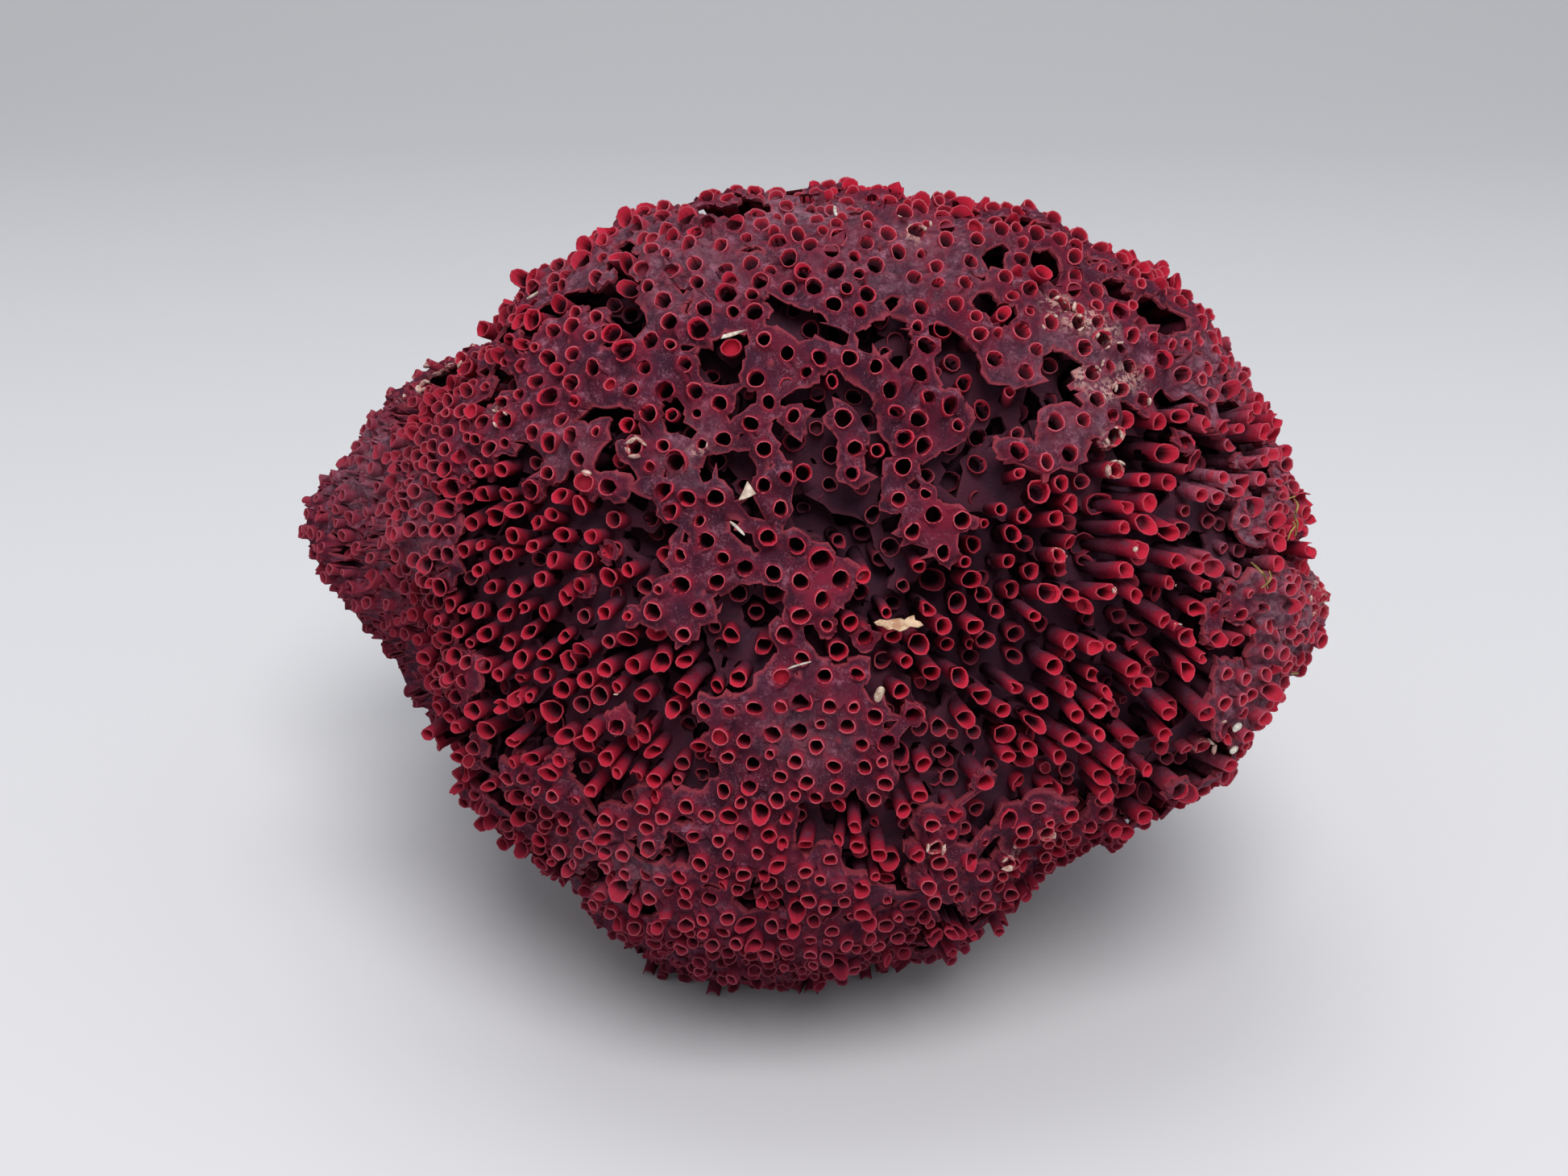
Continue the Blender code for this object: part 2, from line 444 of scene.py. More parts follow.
T_SCORE = outer_score(T_N, T_P)
T_NEXT = next_score(T_N, T_P)
T_SHARE, _, _ = fan_fields(T_N, T_P)
T_BREAK = break_depth(T_N, T_P)
T_S0 = reach_level(T_P, T_D, outer_depth, 2.0)
T_SB = reach_level(T_P, T_D, next_depth, 5.0)
T_S1 = reach_level(T_P, T_D, inner_depth, 10.0)
on_outer = T_SCORE > -0.10
pick = RNG.random(COUNT)
T_INNER = inner_score(T_N, T_P)
is_free = ~on_outer & (pick < T_SHARE)
on_next = ~on_outer & ~is_free & (T_NEXT > -0.15)
stand = np.clip(RNG.normal(1.15, 0.36, COUNT), 0.35, 2.3)
x, y = drawing(T_P)
often = 0.16 + 0.26 * (T_FACE > -0.2) * np.maximum(patch(x, y, 760, 320, 170, 80), patch(x, y, 930, 320, 60, 70))
T_WILD = RNG.random(COUNT) < often         # torn open, wide and ragged
stand += np.where(T_WILD, RNG.uniform(0.3, 1.3, COUNT), 0.0)
stand += T_CROWD * RNG.uniform(0.2, 1.3, COUNT) * ease(-0.05, 0.35, T_FACE)
stand = np.minimum(stand, 9.0 - 7.8 * T_CROWD * (1 - ease(0.10, 0.42, T_FACE)))
free_tip = 0.15 + np.abs(RNG.normal(0.0, 1.1, COUNT))
T_TIP = np.where(on_outer, T_S0 - stand, free_tip)
T_TIP = np.where(on_next, T_SB - stand * 1.3, T_TIP)
T_TIP = np.where(~on_outer & ~is_free & ~on_next, T_S1 - RNG.uniform(1.5, 6.8, COUNT), T_TIP)
T_TIP = np.maximum(T_TIP, T_BREAK * RNG.uniform(0.75, 1.15, COUNT))
T_TIP = np.maximum(T_TIP, 0.05)
# The flat cut: tubes that would reach below it end on it.
tip = T_P - T_D * T_TIP[:, None]
under = ((T_P[:, 2] < 0.0) & (T_D[:, 2] < -0.2)) | ((T_P[:, 2] < 1.2) & (T_D[:, 2] < -0.6))
T_TIP = np.where(under, T_P[:, 2] / np.where(T_D[:, 2] < -0.2, T_D[:, 2], -1.0), T_TIP)
T_CUT = under
tip = T_P - T_D * T_TIP[:, None]
T_LONG = np.where(T_TIP > T_S1 - 2.0, T_TIP + 6.0, T_S1 + 1.6) - T_TIP
T_LONG = np.clip(T_LONG, 6.5, 18.0)
alive = (tip[:, 2] > 0.25) | (T_CUT & (tip[:, 2] > -0.6))


def make_mesh(name, verts, tris, fields, material, sharp=None):
    """A mesh of triangles, in millimetres, with per-point numbers for its material."""
    mesh = bpy.data.meshes.new(name)
    verts = np.asarray(verts, dtype=np.float32) * MM
    tris = np.asarray(tris, dtype=np.int32)
    mesh.vertices.add(len(verts))
    mesh.vertices.foreach_set("co", verts.ravel())
    mesh.loops.add(tris.size)
    mesh.loops.foreach_set("vertex_index", tris.ravel())
    mesh.polygons.add(len(tris))
    mesh.polygons.foreach_set("loop_start", np.arange(0, tris.size, 3, dtype=np.int32))
    mesh.update(calc_edges=True)
    mesh.polygons.foreach_set("use_smooth", np.ones(len(tris), dtype=bool))
    for key, values in fields.items():
        layer = mesh.attributes.new(key, "FLOAT", "POINT")
        layer.data.foreach_set("value", np.asarray(values, dtype=np.float32))
    if sharp:
        mesh.set_sharp_from_angle(angle=math.radians(sharp))
    mesh.materials.append(material)
    mesh.validate()
    piece = bpy.data.objects.new(name, mesh)
    bpy.context.scene.collection.objects.link(piece)
    return piece


# ------------------------------------------------------------------ materials
class Nodes:
    """Short names for building a material's node tree."""

    def __init__(self, name, rough, specular=0.35):
        self.material = bpy.data.materials.new(name)
        self.material.use_nodes = True
        self.tree = self.material.node_tree
        self.shader = self.tree.nodes["Principled BSDF"]
        self.shader.inputs["Roughness"].default_value = rough
        self.shader.inputs["Specular IOR Level"].default_value = specular
        place = self.add("ShaderNodeTexCoord").outputs["Object"]
        scale = self.add("ShaderNodeVectorMath", operation="SCALE")
        self.link(place, scale.inputs[0])
        scale.inputs["Scale"].default_value = 1000.0
        self.mm = scale.outputs[0]

    def add(self, kind, **settings):
        node = self.tree.nodes.new(kind)
        for key, value in settings.items():
            setattr(node, key, value)
        return node

    def link(self, a, b):
        self.tree.links.new(a, b)

    def put(self, socket, value):
        if hasattr(value, "is_output"):
            self.link(value, socket)
        else:
            socket.default_value = value

    def number(self, name):
        return self.add("ShaderNodeAttribute", attribute_name=name).outputs["Fac"]

    def math(self, operation, a, b=0.0, clamp=False):
        node = self.add("ShaderNodeMath", operation=operation, use_clamp=clamp)
        self.put(node.inputs[0], a)
        self.put(node.inputs[1], b)
        return node.outputs[0]

    def span(self, x, lo, hi, a=0.0, b=1.0, smooth=True):
        node = self.add("ShaderNodeMapRange")
        node.interpolation_type = "SMOOTHSTEP" if smooth else "LINEAR"
        self.put(node.inputs["Value"], x)
        node.inputs["From Min"].default_value = lo
        node.inputs["From Max"].default_value = hi
        node.inputs["To Min"].default_value = a
        node.inputs["To Max"].default_value = b
        return node.outputs["Result"]

    def mix(self, factor, a, b, blend="MIX"):
        node = self.add("ShaderNodeMix", data_type="RGBA", blend_type=blend)
        self.put(node.inputs["Factor"], factor)
        self.put(node.inputs["A"], a if hasattr(a, "is_output") else (*a, 1.0))
        self.put(node.inputs["B"], b if hasattr(b, "is_output") else (*b, 1.0))
        return node.outputs["Result"]

    def noise(self, size, detail=3.0, rough=0.55, stretch=None):
        node = self.add("ShaderNodeTexNoise")
        self.link(self.mm, node.inputs["Vector"])
        node.inputs["Scale"].default_value = 1.0 / size
        node.inputs["Detail"].default_value = detail
        node.inputs["Roughness"].default_value = rough
        return node.outputs["Fac"]

    def up(self):
        geo = self.add("ShaderNodeNewGeometry")
        split = self.add("ShaderNodeSeparateXYZ")
        self.link(geo.outputs["Normal"], split.inputs[0])
        return split.outputs["Z"]

    def height(self):
        split = self.add("ShaderNodeSeparateXYZ")
        self.link(self.mm, split.inputs[0])
        return split.outputs["Z"]

    def across(self):
        split = self.add("ShaderNodeSeparateXYZ")
        self.link(self.mm, split.inputs[0])
        return split.outputs["X"]

    def bump(self, height, distance, strength=1.0):
        node = self.add("ShaderNodeBump")
        node.inputs["Strength"].default_value = strength
        node.inputs["Distance"].default_value = distance * MM
        self.link(height, node.inputs["Height"])
        self.link(node.outputs["Normal"], self.shader.inputs["Normal"])

    def done(self, colour):
        self.link(colour, self.shader.inputs["Base Color"])
        return self.material


def tube_material():
    m = Nodes("coral_tube", 0.70, 0.08)
    tip_mm, bore, tone, depth_shade, held, dusty, chalk = (
        m.number(k) for k in ("tip_mm", "bore", "tone", "depth_shade", "held", "dusty", "chalk"))
    grain = m.noise(0.28, 4.0, 0.7)
    cloud = m.noise(2.6, 3.0, 0.6)
    along = m.math("ADD", tip_mm, m.span(cloud, 0.3, 0.7, -0.8, 0.8, False))
    along = m.math("ADD", along, m.math("MULTIPLY", held, 0.5))
    body = m.mix(m.span(along, 0.3, 2.6), (0.41, 0.014, 0.038), (0.150, 0.006, 0.022))
    body = m.mix(m.span(along, 1.6, 4.8), body, (0.040, 0.006, 0.018))
    body = m.mix(m.span(tone, 0.0, 1.0, 0.0, 0.45, False), body, (0.19, 0.008, 0.026))
    body = m.mix(m.span(grain, 0.46, 0.72, 0.0, 0.35), body, (0.42, 0.050, 0.080))
    # mauve dust on what faces up, away from the fresh tips; it also paints the light from above, so up-facing faces
    # come out lighter
    dust_and_top_light = m.math("MULTIPLY", m.span(m.up(), 0.0, 0.9), m.span(along, 0.5, 2.2))
    dust_and_top_light = m.math("MULTIPLY", dust_and_top_light, m.span(m.noise(1.3, 4.0, 0.7), 0.36, 0.64, 0.0, 0.60))
    body = m.mix(dust_and_top_light, body, (0.105, 0.046, 0.078))
    # painted shade: the bore wall goes from red at the mouth to near black deeper in, and a blocked bore darkens
    # just under its mouth
    inside = m.mix(m.span(tip_mm, 0.4, 3.2), (0.54, 0.016, 0.044), (0.055, 0.009, 0.019))
    closed = m.mix(m.span(tip_mm, 0.0, 1.5), (0.36, 0.007, 0.020), (0.045, 0.007, 0.014))
    inside = m.mix(m.math("MULTIPLY", held, 0.8), inside, closed)
    body = m.mix(m.span(bore, 0.35, 0.75), body, inside)
    rim = m.math("MULTIPLY", m.span(tip_mm, 0.05, 0.22, 1.0, 0.0),
                 m.span(grain, 0.30, 0.62, 0.30, 0.95))
    rim = m.math("MULTIPLY", rim, m.span(held, 0.0, 1.0, 0.45, 1.0))
    body = m.mix(rim, body, (0.47, 0.095, 0.125))
    pale = m.math("MULTIPLY", m.math("MULTIPLY", dusty, m.span(bore, 0.3, 0.6, 1.0, 0.25)),
                  m.span(m.noise(1.1, 5.0, 0.75), 0.36, 0.64, 0.15, 0.90))
    body = m.mix(pale, body, (0.310, 0.122, 0.176))
    white = m.math("MULTIPLY", m.math("MULTIPLY", chalk, m.span(tip_mm, 0.4, 1.6, 1.0, 0.0)),
                   m.span(m.noise(0.7, 4.0, 0.7), 0.52, 0.60, 0.0, 0.85))
    body = m.mix(white, body, (0.50, 0.29, 0.26))
    body = m.mix(m.span(m.across(), -62.0, -22.0, 0.50, 0.0), body, (0.090, 0.026, 0.044))
    # painted shade: the tubes get darker towards the bottom of the colony, where less light reaches
    body = m.mix(m.span(m.height(), 6.0, 44.0, 0.68, 0.0), body, (0.062, 0.016, 0.033))
    # painted shade: the deeper a point lies under the form, the darker its colour
    body = m.mix(m.span(depth_shade, 0.12, 0.80, 0.0, 0.88), body, (0.054, 0.019, 0.033))
    m.bump(m.math("ADD", grain, m.math("MULTIPLY", m.noise(0.16, 2.0), 0.5)), 0.06, 0.8)
    return m.done(body)


def plate_material():
    m = Nodes("coral_plate", 0.85, 0.08)
    edge, collar, depth_shade, fresh, dusty, chalk, hollow_shade = (
        m.number(k) for k in ("edge", "collar", "depth_shade", "fresh", "dusty", "chalk", "hollow_shade"))
    grain = m.noise(0.24, 4.0, 0.75)
    cloud = m.noise(4.5, 3.0, 0.6)
    body = m.mix(m.span(cloud, 0.38, 0.62), (0.044, 0.009, 0.020), (0.094, 0.011, 0.027))
    # pale mauve dust on what faces up, and with it painted light from above: up-facing faces of the plates come out
    # lighter
    dust_and_top_light = m.math("MULTIPLY", m.span(m.up(), -0.1, 0.85, 0.20, 1.0),
                  m.span(m.noise(1.5, 5.0, 0.78), 0.48, 0.66, 0.0, 0.85))
    body = m.mix(dust_and_top_light, body, (0.330, 0.125, 0.188))
    body = m.mix(m.span(grain, 0.52, 0.69, 0.0, 0.62), body, (0.480, 0.175, 0.232))
    body = m.mix(m.span(m.noise(2.2, 4.0, 0.7), 0.42, 0.58, 0.78, 0.0), body, (0.056, 0.009, 0.022))
    body = m.mix(m.span(m.noise(3.2, 3.0), 0.50, 0.66, 0.0, 0.75), body, (0.115, 0.010, 0.026))
    body = m.mix(m.span(collar, 0.30, 1.0, 0.0, 0.80), body, (0.185, 0.014, 0.034))
    # painted shade: the hollows of the plate between the tube collars are darker
    body = m.mix(m.math("MULTIPLY", hollow_shade, m.span(cloud, 0.3, 0.6, 0.80, 0.45)), body, (0.036, 0.011, 0.024))
    red = m.math("MULTIPLY", fresh, m.span(m.noise(1.6, 4.0, 0.6), 0.36, 0.56, 0.35, 0.90))
    body = m.mix(red, body, (0.170, 0.012, 0.030))
    pale = m.math("MULTIPLY", dusty, m.span(m.noise(1.1, 5.0, 0.75), 0.36, 0.66, 0.10, 0.85))
    body = m.mix(pale, body, (0.275, 0.145, 0.190))
    broken = m.math("MULTIPLY", m.span(edge, 0.30, 1.0), m.span(grain, 0.25, 0.6, 0.40, 0.95))
    body = m.mix(broken, body, (0.28, 0.040, 0.060))
    white = m.math("MULTIPLY", chalk, m.span(m.noise(0.7, 4.0, 0.7), 0.47, 0.55, 0.0, 0.9))
    body = m.mix(white, body, (0.50, 0.29, 0.26))
    # painted shade: the plates get darker towards the bottom of the colony, where less light reaches
    body = m.mix(m.span(m.height(), 6.0, 40.0, 0.45, 0.0), body, (0.042, 0.014, 0.028))
    # painted shade: the deeper plates are darker
    body = m.mix(m.span(depth_shade, 0.10, 0.8, 0.0, 0.90), body, (0.044, 0.018, 0.031))
    m.bump(m.math("ADD", grain, m.math("MULTIPLY", m.noise(1.4, 3.0), 1.8)), 0.12, 1.0)
    return m.done(body)


def core_material():
    m = Nodes("coral_core", 0.85, 0.2)
    cloud = m.noise(2.0, 4.0, 0.7)
    m.bump(cloud, 0.3, 0.7)
    # painted shade: a near black colour for the inner mass
    return m.done(m.mix(m.span(cloud, 0.35, 0.65), (0.042, 0.017, 0.029), (0.062, 0.018, 0.034)))


TUBE = tube_material()
PLATE = plate_material()
CORE = core_material()

made = []


# ------------------------------------------------------------------ tube meshes
def tube_mesh(name, which, sides, mid):
    count = len(which)
    p, d, r = T_P[which], T_D[which], T_R[which]
    tips, longs = T_TIP[which], T_LONG[which]
    cut = T_CUT[which]
    e1, e2 = T_E1[which], T_E2[which]
    phi = np.arange(sides) / sides * math.tau
    one = (count, 1)
    turn = RNG.uniform(0, math.tau, one)
    shape = oval(which, phi) + 0.030 * RNG.normal(size=(count, sides))
    # rim profile: rough, often oblique, now and then with a notch or a bite
    calm = ((on_outer | on_next) & ~T_WILD)[which][:, None]
    wild = T_WILD[which][:, None]
    slant = np.where(RNG.random(one) < 0.45, RNG.uniform(0.02, 0.15, one), RNG.uniform(0.2, 0.85, one))
    slant = np.where(wild, RNG.uniform(0.3, 1.0, one), slant)
    rim = np.where(calm, 0.40, 1.0) * slant * (1 + np.cos(phi + turn))
    rim += np.abs(RNG.normal(0, 0.11, (count, sides)))
    for chance, deepest, wide in ((0.40, 1.5, 0.8), (0.25, 0.7, 0.4)):
        at = RNG.uniform(0, math.tau, one)
        size = RNG.uniform(0.4, 1.0, one) * wide
        notch = np.where(RNG.random(one) < chance, RNG.uniform(0.25, deepest, one), 0.0)
        notch = np.where(calm, notch * 0.30, notch)
        gap = np.abs((phi - at + math.pi) % math.tau - math.pi)
        rim += notch * (1 - ease(0.7, 1.15, gap / size))
    rim = np.where(cut[:, None], 0.0, rim)
    wall = RNG.uniform(0.125, 0.195, one)
    r = r[:, None]
    # some mouths flare, some bores are blocked just under the mouth
    flare = np.where(wild, RNG.uniform(1.05, 1.40, one), RNG.uniform(0.97, 1.05, one))
    flare = np.where(cut[:, None], 1.0, flare)
    long = np.maximum(longs[:, None], 3.0)
    bore_end = np.minimum(RNG.uniform(4.2, 6.0, one), long - 0.6)
    blocked = RNG.random(one) < np.where(T_SMALL[which][:, None], 0.14, 0.03)
    bore_end = np.where(blocked, rim.max(1, keepdims=True) + RNG.uniform(0.25, 0.9, one), bore_end)
    rows = [
        (long + 0 * rim, r * 0.97 * shape, 0.0),
        (0.16 + rim, (r * flare) * shape, 0.0),
        (0.02 + rim, (r * flare - 0.040) * shape, 0.0),
        (0.01 + rim, (r * flare - wall + 0.03) * shape, 0.55),
        (bore_end + 0 * rim, (r - wall) * 0.97 * shape, 1.0),
    ]
    if mid:
        rows.insert(1, (np.maximum(long * 0.45, 1.9) + 0 * rim, r * shape, 0.0))
        rows.insert(2, (0.95 + 0.8 * rim, r * shape, 0.0))
    last = len(rows) - 1
    bend = RNG.normal(0, 0.20, (count, 1, 2))
    xyz, tip_mm, bore, depth_shade = [], [], [], []
    for k, (s, rr, b) in enumerate(rows):
        sway = bend * (1.0 if mid and k == 1 else 0.0)
        place = (p[:, None] - d[:, None] * (tips[:, None] + s)[..., None]
                 + e1[:, None] * (rr * np.cos(phi) + sway[..., 0])[..., None]
                 + e2[:, None] * (rr * np.sin(phi) + sway[..., 1])[..., None])
        if 0 < k < last:        # end on the flat cut, sliding along the tube
            low = np.minimum(place[..., 2], 0.0)
            slide = np.where(d[:, 2:3] < -0.2, low / np.minimum(d[:, 2:3], -0.2), 0.0)
            place = place - d[:, None] * slide[..., None]
        place[..., 2] = np.maximum(place[..., 2], 0.0)
        xyz.append(place)
        tip_mm.append(np.maximum(s - rim, 0.0) if k < last else s)
        bore.append(np.full_like(s, b))
        # painted shade: how deep each point lies under the form, which darkens its colour
        depth_shade.append((tips[:, None] + s) / 12.0 if k in (0, 1, last) else (tips[:, None] + 0 * s) / 12.0)
    rings = len(rows)
    xyz = np.stack(xyz, 1).reshape(-1, 3)
    tip_mm, bore, depth_shade = (np.stack(v, 1).reshape(-1) for v in (tip_mm, bore, depth_shade))
    tone = np.repeat(RNG.random(count), rings * sides)
    held = np.repeat(((on_outer | on_next) & ~T_WILD)[which].astype(float), rings * sides)
    j = np.arange(sides)
    jn = (j + 1) % sides
    face = []
    for k in range(rings - 1):
        a, b = k * sides, (k + 1) * sides
        face += [np.stack([a + j, a + jn, b + jn], 1), np.stack([a + j, b + jn, b + j], 1)]
    fan = np.arange(1, sides - 1)
    face.append(np.stack([0 * fan, fan + 1, fan], 1))
    top = (rings - 1) * sides
    face.append(np.stack([top + 0 * fan, top + fan, top + fan + 1], 1))
    face = np.concatenate(face)
    tris = (face[None] + (np.arange(count) * rings * sides)[:, None, None]).reshape(-1, 3)
    tip_at = p - d * tips[:, None]
    dusty, chalk = (np.repeat(field(t, tip_at, soft) * (T_FACE[which] > -0.3), rings * sides)
                    for t, soft in ((DUSTY, (0.3, 1.1)), (CRUSTS, (0.5, 1.3))))
    return make_mesh(name, xyz, tris, {"tip_mm": tip_mm, "bore": bore, "tone": tone, "held": held,
                                       "dusty": dusty, "chalk": chalk,
                                       "depth_shade": np.clip(depth_shade, 0, 1)}, TUBE)


seen = T_FACE > -0.12
index = np.arange(COUNT)
free = alive & ~(on_outer | on_next)
bound = alive & (on_outer | on_next)
left, right = T_P[:, 0] < -6.0, T_P[:, 0] >= -6.0
groups = (
    ("tubes_front_left", bound & seen & left, 12, False),
    ("tubes_front_right", bound & seen & right, 12, False),
    ("free_tubes_left", free & seen & left, 12, True),
    ("free_tubes_right", free & seen & right, 12, True),
    ("tubes_back", bound & ~seen, 7, False),
    ("free_tubes_back", free & ~seen, 6, True),
)
for name, choose, sides, mid in groups:
    made.append(tube_mesh(name, index[choose], sides, mid))


# ------------------------------------------------------------------ the plates
def flat_map(n):
    """Directions to a plane, by projection from straight down."""
    k = 2.0 / np.maximum(1.0 + n[:, 2], 1e-5)
    return np.stack([n[:, 0] * k, n[:, 1] * k], 1)


def delaunay(n):
    uv = flat_map(n)
    out = delaunay_2d_cdt([Vector(v) for v in uv.tolist()], [], [], 0, 1e-9)
    source = [o[0] if o else -1 for o in out[3]]
    tris = np.array([[source[i] for i in f] for f in out[2] if len(f) == 3], dtype=int)
    return tris[(tris >= 0).all(1)]


def keep_fans(tris, count):
    """Splits points where two parts of a plate only touch at a corner."""
    tris = tris.copy()
    around = {}
    for f, t in enumerate(tris.tolist()):
        for v in t:
            around.setdefault(v, []).append(f)
    extra, source = count, []
    for v, faces in around.items():
        if len(faces) < 2:
            continue
        left = set(faces)
        first = True
        while left:
            start = left.pop()
            fan, todo = [start], [start]
            while todo:
                f = todo.pop()
                rim = set(tris[f].tolist()) - {v}
                for g in list(left):
                    if rim & (set(tris[g].tolist()) - {v}):
                        left.discard(g)
                        fan.append(g)
                        todo.append(g)
            if not first:
                for f in fan:
                    tris[f][tris[f] == v] = extra
                source.append(v)
                extra += 1
            first = False
    return tris, np.array(source, dtype=int)


def trim(tris, f, carried):
    """Cuts triangles along the line where f crosses zero and keeps the f > 0 side."""
    inside = f > 0.0
    score = inside[tris].sum(1)
    keep = [tris[score == 3]]
    base = len(f)
    parts = []
    for odd in (1, 2):              # one corner kept, or one corner lost
        t = tris[score == odd]
        flag = inside[t] if odd == 1 else ~inside[t]
        first = flag.argmax(1)
        rows = np.arange(len(t))
        parts.append(np.stack([t[rows, (first + k) % 3] for k in range(3)], 1))
    one, two = parts
    pairs = np.concatenate([one[:, [0, 1]], one[:, [0, 2]], two[:, [1, 0]], two[:, [2, 0]]])
    key = np.minimum(pairs[:, 0], pairs[:, 1]) * base + np.maximum(pairs[:, 0], pairs[:, 1])
    _, pick, number = np.unique(key, return_index=True, return_inverse=True)
    number = number.reshape(-1) + base
    a, b = pairs[pick, 0], pairs[pick, 1]        # a is kept, b is lost
    t = np.clip(f[a] / (f[a] - f[b]), 0.15, 0.85)
    carried = {k: np.concatenate([v, v[a] + (v[b] - v[a]) * (t[:, None] if v.ndim > 1 else t)])
               for k, v in carried.items()}
    n1, n2 = len(one), len(two)
    keep.append(np.stack([one[:, 0], number[:n1], number[n1:2 * n1]], 1))
    ab, ac = number[2 * n1:2 * n1 + n2], number[2 * n1 + n2:]
    keep.append(np.stack([ab, two[:, 1], two[:, 2]], 1))
    keep.append(np.stack([ab, two[:, 2], ac], 1))
    return np.concatenate(keep), carried, len(a)


def closed_plate(tris, f, carried, ring, drop_small=6):
    """A closed thin plate from points with an upper and a lower place."""
    top, way = carried["top"], carried["way"]
    a, b, c = (top[tris[:, k]] for k in range(3))
    turn = (np.cross(b - a, c - a) * way[tris[:, 0]]).sum(1) < 0
    tris[turn] = tris[turn][:, ::-1]
    tris, carried, added = trim(tris, f, carried)
    ring = np.concatenate([ring, np.full(added, -1)])
    f = np.concatenate([f, np.zeros(added)])
    # loose scraps that hang on nothing are left out
    owner = list(range(len(ring)))

    def find(i):
        while owner[i] != i:
            owner[i] = owner[owner[i]]
            i = owner[i]
        return i

    for a, b, c in tris.tolist():
        x, y = find(a), find(b)
        if x != y:
            owner[x] = y
        y, z = find(b), find(c)
        if y != z:
            owner[y] = z
    root = np.array([find(i) for i in tris[:, 0].tolist()])
    size = np.bincount(root, minlength=len(ring))
    held = np.zeros(len(ring), bool)
    np.logical_or.at(held, root, (ring[tris] >= 0).any(1))
    tris = tris[(size[root] >= drop_small) & held[root]]
    tris, source = keep_fans(tris, len(ring))
    if len(source):
        carried = {k: np.concatenate([v, v[source]]) for k, v in carried.items()}
        ring, f = np.concatenate([ring, ring[source]]), np.concatenate([f, f[source]])
    used, tris = np.unique(tris, return_inverse=True)
    tris = tris.reshape(-1, 3)
    carried = {k: v[used] for k, v in carried.items()}
    ring, f = ring[used], f[used]
    count = len(ring)
    uv = np.concatenate([tris[:, [0, 1]], tris[:, [1, 2]], tris[:, [2, 0]]])
    forward, backward = uv[:, 0] * count + uv[:, 1], uv[:, 1] * count + uv[:, 0]
    border = uv[~np.isin(forward, backward)]
    torn = border[(ring[border[:, 0]] < 0) | (ring[border[:, 0]] != ring[border[:, 1]])]
    edge = 1.0 - ease(0.0, 0.20, f)
    edge[ring >= 0] *= 0.3
    edge[torn[ring[torn] < 0]] = 1.0
    loose = np.zeros(count, bool)
    loose[torn[ring[torn] < 0]] = True
    jolt = RNG.normal(0, 0.07, (count, 3)) * loose[:, None]
    top, low = carried.pop("top") + jolt, carried.pop("low") + jolt
    carried.pop("way")
    top[:, 2] = np.maximum(top[:, 2], 0.0)
    low[:, 2] = np.maximum(low[:, 2], 0.0)
    u, v = border[:, 0], border[:, 1]
    walls = np.concatenate([np.stack([v, u, u + count], 1), np.stack([v, u + count, v + count], 1)])
    every = np.concatenate([tris, tris[:, ::-1] + count, walls])
    both = {k: np.concatenate([x, x]) for k, x in carried.items()}
    both["edge"] = np.concatenate([edge, edge])
    return np.concatenate([top, low]), every, both


def nearest_wall(q, at, which, skip=None):
    """Distance from points to the nearest tube's outer wall, and that tube."""
    tree = KDTree(len(which))
    for i in which.tolist():
        tree.insert(at[i], i)
    tree.balance()
    best, who = np.full(len(q), 99.0), np.full(len(q), -1)
    found = [tree.find_n(v, 4) for v in q.tolist()]
    for k in range(4):
        t = np.array([f[k][1] if len(f) > k else -1 for f in found])
        w = q - at[t]
        along = (w * T_D[t]).sum(1)
        gap = np.sqrt(np.maximum((w * w).sum(1) - along ** 2, 0.0)) - T_R[t]
        gap = np.where(t < 0, 99.0, gap)
        if skip is not None:
            gap = np.where(t == skip, 99.0, gap)
        better = gap < best
        best, who = np.where(better, gap, best), np.where(better, t, who)
    return best, who


def share_out(prefix, shell, material, limit=190000, sharp=55):
    """Cuts the list of closed shells into pieces under the triangle limit."""
    verts, tris, fields = shell
    owner = list(range(len(verts)))

    def find(i):
        while owner[i] != i:
            owner[i] = owner[owner[i]]
            i = owner[i]
        return i

    for a, b, c in tris.tolist():
        x, y = find(a), find(b)
        if x != y:
            owner[x] = y
        y, z = find(b), find(c)
        if y != z:
            owner[y] = z
    root = np.array([find(i) for i in range(len(verts))])
    face_root = root[tris[:, 0]]
    bins, names = [], []
    sizes = sorted(((int((face_root == r).sum()), int(r)) for r in np.unique(face_root)), reverse=True)
    for size, r in sizes:
        for k in range(len(bins)):
            if bins[k][0] + size < limit:
                bins[k][0] += size
                bins[k][1].append(r)
                break
        else:
            bins.append([size, [r]])
    for k, (size, roots) in enumerate(bins):
        mask = np.isin(face_root, roots)
        used, local = np.unique(tris[mask], return_inverse=True)
        made.append(make_mesh("%s_%d" % (prefix, k + 1), verts[used], local.reshape(-1, 3),
                              {key: v[used] for key, v in fields.items()}, material, sharp))
        print(prefix, k + 1, size)


def settle(q, d, depth_of):
    """Moves points along their tube onto a level under the form."""
    for _ in range(2):
        far = np.linalg.norm(q - CENTRE, axis=1)
        n = unit(q - CENTRE)
        r = radius(n)
        want = r - depth_of(n, CENTRE + n * r[:, None])
        q = q + d * np.clip((want - far) / np.clip((n * d).sum(1), 0.5, 1.0), -1.0, 1.0)[:, None]
    return q


